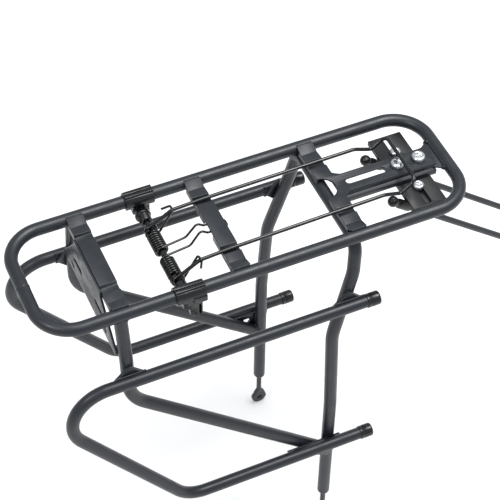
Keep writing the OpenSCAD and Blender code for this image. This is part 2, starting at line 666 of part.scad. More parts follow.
// swivel: a headed trunnion through the cheek, and a barrel that the rod slides through
module stay_barrel(s) color([0.6, 0.6, 0.62]) on_deck() stay_frame(s) mirror([0, s > 0 ? 0 : 1, 0]) {
    cheek = hanger_in - stay_y;
    difference() {
        union() {
            translate([0, cheek + hanger_t + gap, 0]) rotate([-90, 0, 0])
                cylinder(d = barrel_d, h = barrel_out - stay_y - cheek - hanger_t - gap);
            translate([0, cheek - gap - 2, 0]) rotate([-90, 0, 0]) cylinder(d = barrel_head, h = 2);
            translate([0, cheek - gap - 1, 0]) rotate([-90, 0, 0])
                cylinder(d = trunnion_d, h = hanger_t + 2 * gap + 2);
        }
        rotate([0, 90, 0]) cylinder(d = stay_d + 2 * fit, h = 3 * barrel_d, center = true);
    }
}
module stay_barrel_left() stay_barrel(1);
module stay_barrel_right() stay_barrel(-1);

// rod along +X of the stay's own frame, flattened into an eye at its front
module stay_rod(s) color([0.2, 0.21, 0.235]) on_deck() stay_frame(s) {
    tip = stay_len - ball_back;
    flat = 16;
    difference() {
        union() {
            translate([2 - ball_back, 0, 0]) rotate([0, 90, 0]) cylinder(d = stay_d, h = tip - flat + ball_back - 2);
            rotate([90, 0, 0]) linear_extrude(eye_t, center = true) {
                translate([tip, 0]) circle(d = eye_d);
                polygon([[tip - flat - 3, -stay_d / 2 + 1], [tip - 4, -eye_d / 2 + 1.2],
                         [tip - 4, eye_d / 2 - 1.2], [tip - flat - 3, stay_d / 2 - 1]]);
            }
            translate([tip - flat, 0, 0]) rotate([0, 90, 0]) cylinder(d1 = stay_d, d2 = eye_t, h = 6);
        }
        translate([tip, 0, 0]) rotate([90, 0, 0]) cylinder(d = stay_bore, h = 4 * eye_t, center = true);
    }
}
module stay_rod_left() stay_rod(1);
module stay_rod_right() stay_rod(-1);

// rubber boot with a ball end on the rear of each rod
module stay_boot(s) color([0.07, 0.07, 0.075]) on_deck() stay_frame(s) translate([-ball_back, 0, 0])
    rotate([0, 90, 0]) rotate_extrude() difference() {
        union() {
            intersection() {
                circle(d = ball_d);
                translate([0, -ball_d]) square([ball_d, 2 * ball_d]);
            }
            polygon([[0, 0], [boot_d / 2 - 1, 0], [boot_d / 2 - 1, 4.6], [boot_d / 2, 7],
                     [boot_d / 2, boot_len - 1], [boot_d / 2 - 0.6, boot_len], [0, boot_len]]);
        }
        translate([0, 2]) square([stay_d / 2, boot_len]);
    }
module stay_boot_left() stay_boot(1);
module stay_boot_right() stay_boot(-1);

deck_loop();
rear_bridge();
middle_bridge();
front_bridge();
front_leg_arch();
rear_leg_left();
rear_leg_right();
side_hoop_left();
side_hoop_right();
webs_left();
webs_right();
foot_web_left();
foot_web_right();
lamp_plate();
dropout_tip_left();
dropout_tip_right();
hoop_caps();
spring_bracket_left();
spring_bracket_right();
spring_axle();
spring_coils();
spring_leg();
bail();
spring_hooks();
crossbar();
backing_plate();
tongue_bolts();
tongue_nuts();
stay_hanger_left();
stay_hanger_right();
stay_bolt_left();
stay_bolt_right();
stay_barrel_left();
stay_barrel_right();
stay_rod_left();
stay_rod_right();
stay_boot_left();
stay_boot_right();
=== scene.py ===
# %% [markdown]
# # A rear rack for a bicycle
# The rack is a welded frame of bent tubes and pressed sheet, with a wire clamp (the bail) that a
# torsion spring pulls down on the load, and two adjustable stays at the front.
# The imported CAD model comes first. It fixes every size and every joint, and each piece below is
# made in its frame: +X is forwards, +Y is left, +Z is up.

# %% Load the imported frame
import json
import math

import bmesh
import bpy
import numpy as np
from mathutils import Matrix, Vector


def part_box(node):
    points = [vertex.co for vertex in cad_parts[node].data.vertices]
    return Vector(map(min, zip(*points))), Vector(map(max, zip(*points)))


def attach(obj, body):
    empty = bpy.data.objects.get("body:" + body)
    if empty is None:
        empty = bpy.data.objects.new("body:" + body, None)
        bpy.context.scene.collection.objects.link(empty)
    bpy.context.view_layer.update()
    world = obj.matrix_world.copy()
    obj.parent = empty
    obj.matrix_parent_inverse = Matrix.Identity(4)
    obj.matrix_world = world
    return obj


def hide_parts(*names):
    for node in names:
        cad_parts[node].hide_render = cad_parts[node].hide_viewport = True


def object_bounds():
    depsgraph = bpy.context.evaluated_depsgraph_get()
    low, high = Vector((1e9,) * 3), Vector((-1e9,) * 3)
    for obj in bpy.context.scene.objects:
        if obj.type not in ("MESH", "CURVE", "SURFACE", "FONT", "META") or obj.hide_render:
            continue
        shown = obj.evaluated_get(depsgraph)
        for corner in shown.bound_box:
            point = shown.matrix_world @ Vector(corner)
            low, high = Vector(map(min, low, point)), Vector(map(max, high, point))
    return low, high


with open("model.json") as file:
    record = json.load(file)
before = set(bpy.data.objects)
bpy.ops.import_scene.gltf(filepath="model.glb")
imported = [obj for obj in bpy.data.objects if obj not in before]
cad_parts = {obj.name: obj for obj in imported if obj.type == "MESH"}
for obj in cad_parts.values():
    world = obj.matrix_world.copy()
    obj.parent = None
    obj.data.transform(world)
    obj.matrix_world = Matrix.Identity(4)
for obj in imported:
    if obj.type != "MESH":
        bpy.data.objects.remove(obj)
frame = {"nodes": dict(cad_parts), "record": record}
cad_low, cad_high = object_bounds()
print("box of the CAD model:", tuple(cad_low), tuple(cad_high))

# %% [markdown]
# ## Sizes
# Lengths are in millimetres, measured in the deck's own frame, with its origin at the centre of the
# deck loop. That is how a frame builder would draw the rack. `row` moves points into the CAD
# model's frame and into metres, and the deck's place comes from the box of its node.

# %% Driving sizes
MM = 0.001
TUBE = 12.0              # deck tube and legs
HOOP = 11.5              # pannier hoops
BAIL = 3.5               # wire of the bail
SPRING = 2.2             # wire of the torsion spring
AXLE = 6.0
STAY = 6.0
BRIDGE = 16.0            # a bridge's length along the rack
PITCH = 110.5            # from bridge to bridge
MIDDLE = -22.3           # where the middle bridge sits
CORNER = 33.0            # bend radius of the deck's corners
BEAD = 0.3               # height of the deck's butt weld

low, high = (np.array(corner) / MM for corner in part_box("deck_loop"))
half_w = (high[1] - low[1] - TUBE) / 2
half_l = (high[0] - low[0] - TUBE - BEAD) / 2
deck_centre = np.array([high[0] - TUBE / 2 - half_l, 0.0, (low[2] + high[2]) / 2])
print("deck: half length", round(half_l, 2), "half width", round(half_w, 2))
print("its centre in the CAD model:", deck_centre.round(2))


def row(points):
    """Points of the deck's frame in millimetres, as points of the CAD model's frame in metres."""
    return (np.asarray(points, float) + deck_centre) * MM


def flip(points):
    """The same points on the rack's other side."""
    return np.asarray(points, float) * (1, -1, 1)


# %% [markdown]
# ## Two ways to make a surface
# Nearly everything here is a profile carried along a line. A bent tube's line is straight runs with
# an arc at each corner, as a bending machine makes it. `bent_line` works that out, and `carried`
# puts a ring of points about each of its stations.

# %% Lines
def unit(v):
    return v / np.linalg.norm(v)


def bent_line(corners, radii, arc_step=math.radians(5)):
    """Straight runs between corners, each corner replaced by an arc tangent to both runs.
    With directions u before and w after, n the part of w square to u, and t from 0 to the turn,
    the arc is: corner - u r tan(turn/2) + r (n (1 - cos t) + u sin t)."""
    corners = [np.asarray(c, float) for c in corners]
    parts = [corners[0][None]]
    for before, corner, after, radius in zip(corners, corners[1:], corners[2:], radii[1:]):
        u, w = unit(corner - before), unit(after - corner)
        turn = math.acos(np.clip(u @ w, -1, 1))
        n = unit(w - (u @ w) * u)
        t = np.linspace(0, turn, max(6, round(turn / arc_step)))[:, None]
        start = corner - u * radius * math.tan(turn / 2)
        parts.append(start + radius * (n * (1 - np.cos(t)) + u * np.sin(t)))
    return np.vstack(parts + [corners[-1][None]])


def ring_line(centre, radius, start, end, steps=60):
    """Points of an arc about an axis along Y: centre + r (cos a, 0, sin a), a in degrees."""
    a = np.radians(np.linspace(start, end, steps))
    return np.asarray(centre, float) + radius * np.c_[np.cos(a), 0 * a, np.sin(a)]


# %% Rings about a line
def directions(line, closed):
    """At each station, the mean of the unit steps that arrive and leave."""
    steps = np.roll(line, -1, 0) - line
    if not closed:
        steps[-1] = steps[-2]
    steps /= np.linalg.norm(steps, axis=1)[:, None]
    before = np.roll(steps, 1, 0)
    if not closed:
        before[0] = steps[0]
    mean = steps + before
    return mean / np.linalg.norm(mean, axis=1)[:, None]


def carried(line, radius, sides=32, closed=False, flat=1.0, power=2.0, up=None):
    """A ring about each station P: P + a c(phi) N + b s(phi) B, where c and s are the cosine and
    sine raised to 2 / power with their signs kept, a is the radius and b is flat times a.
    N is carried on from station to station by taking out what lies along the new direction."""
    line = np.asarray(line, float)
    along = directions(line, closed)
    normal = np.asarray(up if up is not None else np.eye(3)[np.argmin(np.abs(along[0]))], float)
    normals = []
    for d in along:
        normal = unit(normal - (normal @ d) * d)
        normals.append(normal)
    normals = np.array(normals)
    phi = np.linspace(0, 2 * math.pi, sides, endpoint=False)
    stations = len(line)
    radius, flat, power = (np.broadcast_to(v, stations)[:, None] for v in (radius, flat, power))
    c = np.sign(np.cos(phi)) * np.abs(np.cos(phi)) ** (2 / power)
    s = np.sign(np.sin(phi)) * np.abs(np.sin(phi)) ** (2 / power)
    across = np.cross(along, normals)
    return (line[:, None] + (radius * c)[..., None] * normals[:, None]
            + (radius * flat * s)[..., None] * across[:, None])


def turned(profile, origin, axis, sides=48):
    """(radius, height) pairs turned about an axis: origin + h axis + r (cos a N + sin a B)."""
    profile = np.asarray(profile, float)
    axis = unit(np.asarray(axis, float))
    normal = unit(np.cross(axis, np.eye(3)[np.argmin(np.abs(axis))]))
    across = np.cross(axis, normal)
    a = np.linspace(0, 2 * math.pi, sides, endpoint=False)
    spoke = np.cos(a)[:, None] * normal + np.sin(a)[:, None] * across
    r, h = profile[:, 0, None, None], profile[:, 1, None, None]
    return np.asarray(origin, float) + h * axis + r * spoke


# %% [markdown]
# ## From grid to piece
# `skin` joins each four neighbours of a grid into a face. `piece` makes the object, hangs it
# under an empty for the body it rides on, hides the CAD nodes it stands for, and files it under its
# finish's slot. The printed number is how far the piece's box is from its node's box, so a slip in a
# size shows at once.

# %% Meshes and pieces
BODY = {n: b for b, nodes in frame["record"]["behaviour"]["bodies"].items() for n in nodes}
SLOT = {s["node"]: s["material_slot"] for s in frame["record"]["subparts"]}
finishes = {}


def skin(name, grids, sharp=40):
    """One mesh from several (grid, closed) pairs: quads (a, a+1, b+1, b) round each ring, and a flat
    face over each open end."""
    points, faces, base = [], [], 0
    for grid, closed in grids:
        stations, sides = grid.shape[:2]
        index = np.arange(stations * sides).reshape(stations, sides) + base
        a, b = (index, np.roll(index, -1, 0)) if closed else (index[:-1], index[1:])
        quads = np.stack([a, np.roll(a, -1, 1), np.roll(b, -1, 1), b], -1).reshape(-1, 4)
        faces += quads.tolist()
        if not closed:
            faces += [index[0, ::-1].tolist(), index[-1].tolist()]
        points.append(row(grid.reshape(-1, 3)))
        base += stations * sides
    mesh = bpy.data.meshes.new(name)
    mesh.from_pydata(np.vstack(points).tolist(), [], faces)
    mesh.shade_smooth()
    mesh.set_sharp_from_angle(angle=math.radians(sharp))
    return mesh


def piece(name, mesh, *nodes, body=None, slot=None):
    """Puts a mesh into the scene as a piece that stands for its CAD nodes."""
    obj = bpy.data.objects.new(name, mesh)
    bpy.context.scene.collection.objects.link(obj)
    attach(obj, body or BODY[nodes[0]])
    slot = slot or SLOT[nodes[0]]
    finishes.setdefault(slot, []).append(obj)
    if nodes:
        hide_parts(*nodes)
        boxes = np.array([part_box(n) for n in nodes])
        co = np.array([v.co for v in mesh.vertices])
        off = max(np.abs(co.min(0) - boxes[:, 0].min(0)).max(),
                  np.abs(co.max(0) - boxes[:, 1].max(0)).max())
        print(f"{name}: {len(mesh.polygons)} faces, box off by {off / MM:.2f} mm")
    else:
        print(f"{name}: {len(mesh.polygons)} faces")
    return obj


def tube(name, line, diameter, closed=False, extra=(), sides=40):
    """A piece that is one bent bar, with the rings in extra added to it."""
    grid = carried(line, diameter / 2, sides=sides, closed=closed)
    return piece(name, skin(name, [(grid, closed), *extra]), name)


# %% [markdown]
# ## Deck loop
# One tube bent into a rounded rectangle. Its two ends meet at the back in a butt weld that is ground
# nearly flush, and only a low ring is left. The ring is a short tube that swells by the height of
# the bead.

# %% The deck loop
side, end = half_w - CORNER, half_l - CORNER
quarter = np.linspace(0, math.pi / 2, 19)


def corner_arc(x, y, start):
    """A quarter of a circle about (x, y), from the angle start."""
    a = start + quarter
    return np.c_[x + CORNER * np.cos(a), y + CORNER * np.sin(a), 0 * a]


loop = np.vstack([corner_arc(end, side, 0), corner_arc(-end, side, math.pi / 2),
                  corner_arc(-end, -side, math.pi), corner_arc(end, -side, 1.5 * math.pi)])
SEAM = 1.6                # half the weld's length along the tube
seam_y = np.linspace(-SEAM, SEAM, 9)
seam = carried(np.c_[0 * seam_y - half_l, seam_y, 0 * seam_y],
               TUBE / 2 + BEAD * np.cos(seam_y / SEAM * math.pi / 2), sides=40)
tube("deck_loop", loop, TUBE, closed=True, extra=[(seam, False)])

# %% [markdown]
# ## Legs and hoops
# The front legs are one tube: it passes under the front bridge, bends down at each side, leans
# forwards past the upper rail and then drops straight to the axle. The rear legs come down from
# the deck and sweep forwards to meet it. Each hoop is a single bent tube with two capped ends.

# %% Their lines
REAR = MIDDLE - PITCH
FRONT = MIDDLE + PITCH
RAIL_Y, RAIL_Z = 80.0, -66.5
LOW_Y, LOW_Z = 91.5, -256.0
FOOT = np.array([60.0, 79.5, -395.0])
RAIL_END = 98.0           # front ends of the rails, inside their caps
leg_pass = RAIL_Y - (TUBE + HOOP) / 2 - 0.35      # where a leg slips past the upper rail
rear_leg_x = REAR - BRIDGE / 2 + TUBE / 2
leg_end = FOOT[2] + 41

leg = np.array([[84.5, 59.5, -6.2], [80.5, leg_pass - 2, -38], [61, FOOT[1] - 8, -112],
                [FOOT[0], FOOT[1], -205], [FOOT[0], FOOT[1], leg_end]])
arch = bent_line(np.vstack([flip(leg[::-1]), leg]), [0, 60, 60, 60, 16, 16, 60, 60, 60, 0])
tube("front_leg_arch", arch, TUBE)

rear = np.array([[rear_leg_x, half_w - 0.5, -2], [rear_leg_x, leg_pass - 0.9, -52],
                 [rear_leg_x, leg_pass + 1.8, -102], [FOOT[0] - 1.5, FOOT[1] - 0.2, -280.6]])
hoop = np.array([[RAIL_END, RAIL_Y, RAIL_Z], [-224.6, RAIL_Y, RAIL_Z],
                 [-91, LOW_Y, LOW_Z], [RAIL_END, LOW_Y, LOW_Z]])
for where, turn in (("left", lambda p: p), ("right", flip)):
    tube(f"rear_leg_{where}", turn(bent_line(rear, [0, 40, 40, 0])), TUBE)
    tube(f"side_hoop_{where}", turn(bent_line(hoop, [0, 35, 35, 0])), HOOP)

# %% [markdown]
# ## Caps on the hoops
# A glossy moulded cap is pushed over each rail's front end. Its profile is turned: a thin sleeve
# with a soft lip, a small step, and a rounded end.

# %% The caps
CAP_R, CAP_L, RIM = HOOP / 2 + 0.8, 13.0, 1.8
CAP_OVER = 3.0            # how far a cap stands out past its rail
t = np.linspace(0, math.pi / 2, 9)
cap_profile = np.vstack([
    [[HOOP / 2 - 0.2, 0.3], [HOOP / 2 + 0.35, 0], [CAP_R - 0.1, 0.25], [CAP_R, 0.7],
     [CAP_R, 2.6], [CAP_R - 0.22, 2.9], [CAP_R - 0.22, 3.3], [CAP_R, 3.6]],
    np.c_[CAP_R - RIM + RIM * np.cos(t), CAP_L - RIM + RIM * np.sin(t)],
    [[2.2, CAP_L], [1.2, CAP_L - 0.15], [0.3, CAP_L - 0.2]]])
cap_grids = [(turned(cap_profile, (RAIL_END + CAP_OVER - CAP_L, s * y, z), (1, 0, 0)), False)
             for y, z in ((RAIL_Y, RAIL_Z), (LOW_Y, LOW_Z)) for s in (1, -1)]
piece("hoop_caps", skin("hoop_caps", cap_grids), "hoop_caps")

# %% [markdown]
# ## Eyelets of the legs and the stays
# A forged or pressed end starts round, narrows, and is squeezed flat into an eye. One sweep does the
# shank: its section goes from a circle to a flattened superellipse. The eye is a second
# closed surface, a rounded strip of metal that runs once about the bore.

# %% An eye about a bore
def eye(centre, outer, bore, thick, edge=0.5, sides=64):
    """Once round the Y axis by the angle a, and round a strip's section by v. The strip spans the
    radii bore to outer and the thickness thick, and its edges are rounded by a power of 8."""
    a = np.linspace(0, 2 * math.pi, sides, endpoint=False)
    v = np.linspace(0, 2 * math.pi, 32, endpoint=False)
    c = np.sign(np.cos(v)) * np.abs(np.cos(v)) ** 0.25
    s = np.sign(np.sin(v)) * np.abs(np.sin(v)) ** 0.25
    r = (bore + outer) / 2 + (outer - bore) / 2 * c
    x, z = r * np.cos(a)[:, None], r * np.sin(a)[:, None]
    y = np.broadcast_to(thick / 2 * s, x.shape)
    return np.asarray(centre, float) + np.stack([x, y, z], -1)


def blended(x, knots, values):
    """Values between knots on a smooth step: 3 t^2 - 2 t^3 inside each interval."""
    i = np.clip(np.searchsorted(knots, x) - 1, 0, len(knots) - 2)
    knots, values = np.asarray(knots, float), np.asarray(values, float)
    t = np.clip((x - knots[i]) / (knots[i + 1] - knots[i]), 0, 1)
    return values[i] + (values[i + 1] - values[i]) * (3 - 2 * t) * t * t


# %% Feet of the front legs
DROP_HOLE, DROP_EYE, DROP_T = 2.7, 8.0, 4.0       # bore and outer radius, and thickness
down = np.linspace(0, 1, 70)
z = leg_end + 0.4 + (FOOT[2] + 4.2 - leg_end - 0.4) * down
knots = -np.array([leg_end + 0.4, leg_end - 0.6, leg_end - 5, leg_end - 6,
                   FOOT[2] + 15, FOOT[2] + 7, FOOT[2] + 4.2])
half_x = blended(-z, knots, [6.0, 5.9, 2.9, 2.6, 2.6, 6.0, 7.2])
half_y = blended(-z, knots, [6.0, 5.9, 2.9, 2.6, 2.6, 2.0, 1.98])
square = blended(-z, knots, [2, 2, 2, 2, 2, 3.4, 4])
for s, where in ((1, "left"), (-1, "right")):
    centre = FOOT * (1, s, 1)
    line = np.c_[0 * z + centre[0], 0 * z + centre[1], z]
    shank = carried(line, half_x, sides=40, flat=half_y / half_x, power=square, up=(1, 0, 0))
    name = f"dropout_tip_{where}"
    ring = eye(centre, DROP_EYE, DROP_HOLE, DROP_T)
    piece(name, skin(name, [(shank, False), (ring, True)]), name)

# %% Rods of the front stays
PIVOT = np.array([half_l - 34.6, 27.6, -32.0])
SLOPE = math.radians(39.6)
stay_way = np.array([math.cos(SLOPE), 0, -math.sin(SLOPE)])
BALL_BACK, TIP = 36.0, 196.0                      # from the pivot to the ball, and to the eye
STAY_HOLE, STAY_EYE, STAY_T = 2.7, 6.5, 3.0
x = np.r_[2 - BALL_BACK, np.linspace(TIP - 30, TIP - 3.4, 50)]
knots = [2 - BALL_BACK, TIP - 20, TIP - 10, TIP - 3.4]
half_wide = blended(x, knots, [3.0, 3.0, 4.6, 5.6])
half_thin = blended(x, knots, [3.0, 3.0, 1.6, 1.48])
square = blended(x, knots, [2, 2, 3.2, 4])
for s, where in ((1, "left"), (-1, "right")):
    pivot = PIVOT * (1, s, 1)
    shank = carried(pivot + x[:, None] * stay_way, half_thin, sides=40,
                    flat=half_wide / half_thin, power=square, up=(0, 1, 0))
    name = f"stay_rod_{where}"
    ring = eye(pivot + TIP * stay_way, STAY_EYE, STAY_HOLE, STAY_T)
    piece(name, skin(name, [(shank, False), (ring, True)]), name)

# %% [markdown]
# ## Rubber boots
# Each rod's upper end wears a dipped rubber boot with a ball end, so that it can't scratch the
# load. The profile is a ball, a slight neck, and a sleeve with a soft lip.

# %% The boots
BOOT_R, BALL_R, BOOT_L = 4.6, 5.1, 22.0
t = np.linspace(math.radians(4), math.radians(132), 24)
boot_profile = np.vstack([
    np.c_[BALL_R * np.sin(t), -BALL_R * np.cos(t)],
    [[3.6, 3.9], [3.62, 4.6], [3.9, 5.6], [4.35, 6.7], [BOOT_R, 8.0], [BOOT_R, BOOT_L - 1.4],
     [BOOT_R - 0.12, BOOT_L - 0.7], [BOOT_R - 0.5, BOOT_L - 0.1], [STAY / 2 + 0.3, BOOT_L],
     [STAY / 2 - 0.1, BOOT_L - 0.4]]])
for s, where in ((1, "left"), (-1, "right")):
    ball = PIVOT * (1, s, 1) - BALL_BACK * stay_way
    name = f"stay_boot_{where}"
    piece(name, skin(name, [(turned(boot_profile, ball, stay_way), False)]), name)

# %% [markdown]
# ## Spring
# The clamp's spring is one wire: two close coils on an axle, a long hooked leg between them that
# presses up under the middle bridge, and a hook at each outer end that pulls on the bail.

# %% Places about the axle
AXLE_X, AXLE_Z = -72.5, -12.0
TOP_Z, SHEET = 4.6, 2.0
BAIL_Y, COIL_R, TURNS = 31.5, 5.6, 8
SLIP, SAG = -2.6, 1.0            # the spring sits off centre on its axle, and hangs a little below it
EYE_R = AXLE / 2 + 0.05 + BAIL / 2
HOOK_Y = BAIL_Y - BAIL / 2 - SPRING / 2 - 0.15
COIL_OUT, COIL_IN = HOOK_Y - SPRING - 0.35, 5.0
coil_z = AXLE_Z - SAG
axle = np.array([AXLE_X, 0, AXLE_Z])
CHAMFER = 0.5
axle_ends = (-half_w, CHAMFER - half_w, half_w - CHAMFER, half_w)
axle_line = np.array([[AXLE_X, y, AXLE_Z] for y in axle_ends])
axle_grid = carried(axle_line, AXLE / 2 - CHAMFER * np.array([1, 0, 0, 1]), sides=40)
piece("spring_axle", skin("spring_axle", [(axle_grid, False)]), "spring_axle")

# %% The coils
turns = np.linspace(0, TURNS, TURNS * 32 + 1)
a = math.pi / 2 + 2 * math.pi * turns
helix = np.c_[AXLE_X + COIL_R * np.cos(a), COIL_IN + (COIL_OUT - COIL_IN) / TURNS * turns,
              coil_z + COIL_R * np.sin(a)]
coils = [(carried(line + (0, SLIP, 0), SPRING / 2, sides=14), False)
         for line in (helix, flip(helix))]
piece("spring_coils", skin("spring_coils", coils), "spring_coils")

# %% The leg between the coils
leg_z = coil_z + COIL_R
under = TOP_Z - SHEET - SPRING / 2
leg_tip = MIDDLE + BRIDGE / 2 + 1
LEG_Y = 4.5
leg_side = np.array([[-49, LEG_Y + 0.7, -7.1], [-39, LEG_Y, 6.4], [-32.5, LEG_Y, under],
                     [leg_tip, LEG_Y, under]])
leg_line = np.vstack([[AXLE_X, COIL_IN + SLIP, leg_z], leg_side,
                      flip(leg_side[::-1]), [AXLE_X, SLIP - COIL_IN, leg_z]])
leg_radii = [0, 5, 3, 3, 3]
tube("spring_leg", bent_line(leg_line, leg_radii + leg_radii[::-1]), SPRING, sides=20)

# %% [markdown]
# ## Bail and hooks
# The bail is one thick wire. Each end wraps the axle as an eye, runs up to the deck and
# forwards through the bridges' grooves, dips, and rises to a cross run that a hand can grip. The
# spring's hooks leave the coils from below and catch over it.

# %% Tangents from the axle
bend = np.array([-51.1, 2.4])
reach = math.hypot(bend[0] - AXLE_X, bend[1] - AXLE_Z)
bail_tilt = math.degrees(math.atan2(bend[1] - AXLE_Z, bend[0] - AXLE_X))
eye_tilt = bail_tilt - math.degrees(math.asin(EYE_R / reach))
hook_reach = math.hypot(bend[0] - AXLE_X, bend[1] - coil_z)
hook_tilt = math.degrees(math.atan2(bend[1] - coil_z, bend[0] - AXLE_X)
                         + math.asin(COIL_R / hook_reach))
WRAP = 290                # degrees of a turn that an eye or a coil's last turn makes
LEAD = 5.0                # straight run in the plane of the turn before the wire slants away
print("slopes of the bail's and the hook's first runs:", round(eye_tilt, 1), round(hook_tilt, 1))


def lead(tilt):
    """The straight run along a slope in degrees: LEAD (cos tilt, 0, sin tilt)."""
    slope = math.radians(tilt)
    return LEAD * np.array([math.cos(slope), 0, math.sin(slope)])


# %% The bail
grip = np.array([half_l - 42.6, BAIL_Y - 2, 13.0])
bail_side = np.vstack([[bend[0], BAIL_Y, bend[1]], [MIDDLE, BAIL_Y - 0.2, 4.3],
                       [half_l - 73.6, BAIL_Y - 1, 7.3], [half_l - 56.4, BAIL_Y - 2, 1.4], grip])
left, right = (ring_line(axle + (0, SLIP + s * BAIL_Y, 0), EYE_R, eye_tilt + 90 + WRAP,
                         eye_tilt + 90, steps=64) for s in (1, -1))
bail_radii = [0, 20, 12, 40, 12, 5, 6]
leave = lead(eye_tilt)
wire = bent_line(np.vstack([left[-1], left[-1] + leave, bail_side, flip(bail_side[::-1]),
                            right[-1] + leave, right[-1]]), bail_radii + bail_radii[::-1])
tube("bail", np.vstack([left[:-1], wire, right[-2::-1]]), BAIL, sides=28)

# %% The spring's hooks
lift = (BAIL + SPRING) / 2
over = BAIL_Y + lift
tails = {1: [[bend[0] - 0.5, over, bend[1] + lift], [bend[0] - 9, over + 1, bend[1] + 1]],
         -1: [[bend[0] + 0.6, over, bend[1] + lift], [bend[0] - 0.6, over + 1, bend[1] - 6]]}
top_bend = [bend[0] - 0.6, HOOK_Y, bend[1] + lift]
hooks = []
for s, tail in tails.items():
    coil_end = ring_line((AXLE_X, s * HOOK_Y + SLIP, coil_z), COIL_R, hook_tilt - WRAP,
                         hook_tilt - 90, steps=44)
    run = np.vstack([coil_end[-1], coil_end[-1] + lead(hook_tilt),
                     np.array([top_bend, *tail]) * (1, s, 1)])
    hook = bent_line(run, [0, 20, 1.6, 1.6, 0], arc_step=math.radians(12))
    line = np.vstack([coil_end[:-1], hook])
    hooks.append((carried(line, SPRING / 2, sides=16), False))
piece("spring_hooks", skin("spring_hooks", hooks), "spring_hooks")

# %% [markdown]
# ## Screws
# Zinc-plated button-head screws with a hex socket. The head is a grid in polar form: the rows
# inside the socket follow a hexagon, whose radius is its inner radius over the cosine of the angle
# from the middle of a flat, and the rows outside are circles.

# %% A button-head screw
def screw(place, axis, head, shank, length, sides=72):
    """Rows from the socket's floor, up its hexagonal wall, over the dome, and down the shank.
    The proportions are a standard button head's, as shares of its diameter and its height."""
    a = np.linspace(0, 2 * math.pi, sides, endpoint=False)
    flat_angle = (a + math.pi / 6) % (math.pi / 3) - math.pi / 6
    hexagon = 0.24 * head / np.cos(flat_angle)
    circle = np.ones(sides)
    height = 0.34 * head
    dome = np.linspace(0, math.pi / 2, 10)
    top = 0.31 * head
    rows = [(hexagon * 0.3, 0.30 * height), (hexagon, 0.36 * height), (hexagon, 0.94 * height),
            (hexagon * 0.5 + circle * top * 0.52, height)]
    rows += [(circle * (top + (head / 2 - top) * math.sin(d)), height * (0.42 + 0.58 * math.cos(d)))
             for d in dome]
    rows += [(circle * head / 2, 0.16 * height), (circle * (head / 2 - 0.25), 0),
             (circle * shank / 2, 0), (circle * shank / 2, 0.8 - length),
             (circle * (shank / 2 - 0.6), -length)]
    axis = unit(np.asarray(axis, float))
    normal = unit(np.cross(axis, (1, 0, 0)))
    spoke = np.cos(a)[:, None] * normal + np.sin(a)[:, None] * np.cross(axis, normal)
    grid = np.array([np.asarray(place, float) + z * axis + r[:, None] * spoke for r, z in rows])
    return grid[::-1]


# %% The screws in place
FEET = -6.0                    # the tongue's feet, on the crossbar
BAR_T, PLATE_T, HANGER_T = 2.5, 3.0, 2.5
M6_HEAD, M6_NUT, M6_NUT_T = 13.0, 10.0, 5.0
M5_HEAD, M5_NUT, M5_NUT_T = 10.6, 8.0, 4.0
GAP = 0.35                     # between a hanger or a bolt and what it slides on
bar_z = FEET - BAR_T
bolt_x = (half_l - 44.9, half_l - 23.9)
length = TOP_Z - bar_z + PLATE_T + M6_NUT_T + 1.5
bolts = [(screw((x, 0, TOP_Z), (0, 0, 1), M6_HEAD, 6, length), False) for x in bolt_x]
piece("tongue_bolts", skin("tongue_bolts", bolts, sharp=32), "tongue_bolts")


def nut(place, across, bore, height):
    """A closed hexagonal strip about the Z axis: inner radius bore / 2, outer radius a hexagon's."""
    a = np.linspace(0, 2 * math.pi, 72, endpoint=False)
    hexagon = across / 2 / np.cos((a + math.pi / 6) % (math.pi / 3) - math.pi / 6)
    inner = 0 * a + bore / 2
    worn = np.minimum(hexagon, across / 2 + 0.35)
    rows = [(inner, 0.4), (inner + 0.4, 0), (worn, 0), (hexagon, 0.6), (hexagon, height - 0.6),
            (worn, height), (inner + 0.4, height), (inner, height - 0.4)]
    grid = np.array([np.c_[r * np.cos(a), r * np.sin(a), 0 * a + z] + place for r, z in rows])
    return grid.transpose(1, 0, 2)[::-1]


for s, where in ((1, "left"), (-1, "right")):
    place = np.array([PIVOT[0], s * 22.6, FEET + GAP])
    nut_z = bar_z - GAP - HANGER_T - M5_NUT_T
    parts = [(screw(place, (0, 0, 1), M5_HEAD, 5, place[2] - nut_z + 1), False),
             (nut((place[0], place[1], nut_z), M5_NUT, 4.8, M5_NUT_T), True)]
    name = f"stay_bolt_{where}"
    piece(name, skin(name, parts, sharp=32), name)
tongue_nuts = [(nut((x, 0, bar_z - PLATE_T - M6_NUT_T), M6_NUT, 6.1, M6_NUT_T), True)
               for x in bolt_x]
piece("tongue_nuts", skin("tongue_nuts", tongue_nuts, sharp=32), "tongue_nuts")

# %% [markdown]
# ## Sheet metal and mouldings
# The bridges, the lamp plate, the webs, the crossbar with its hangers, and the plastic spring
# clamps are cut, punched and pressed shapes whose outlines the CAD model already has right. What it
# lacks is the soft edge that pressing, moulding and coating leave, and that edge is what catches the
# light. So each is a copy of its node: triangles are merged back into faces, and a Bevel modifier
# rounds the edges.

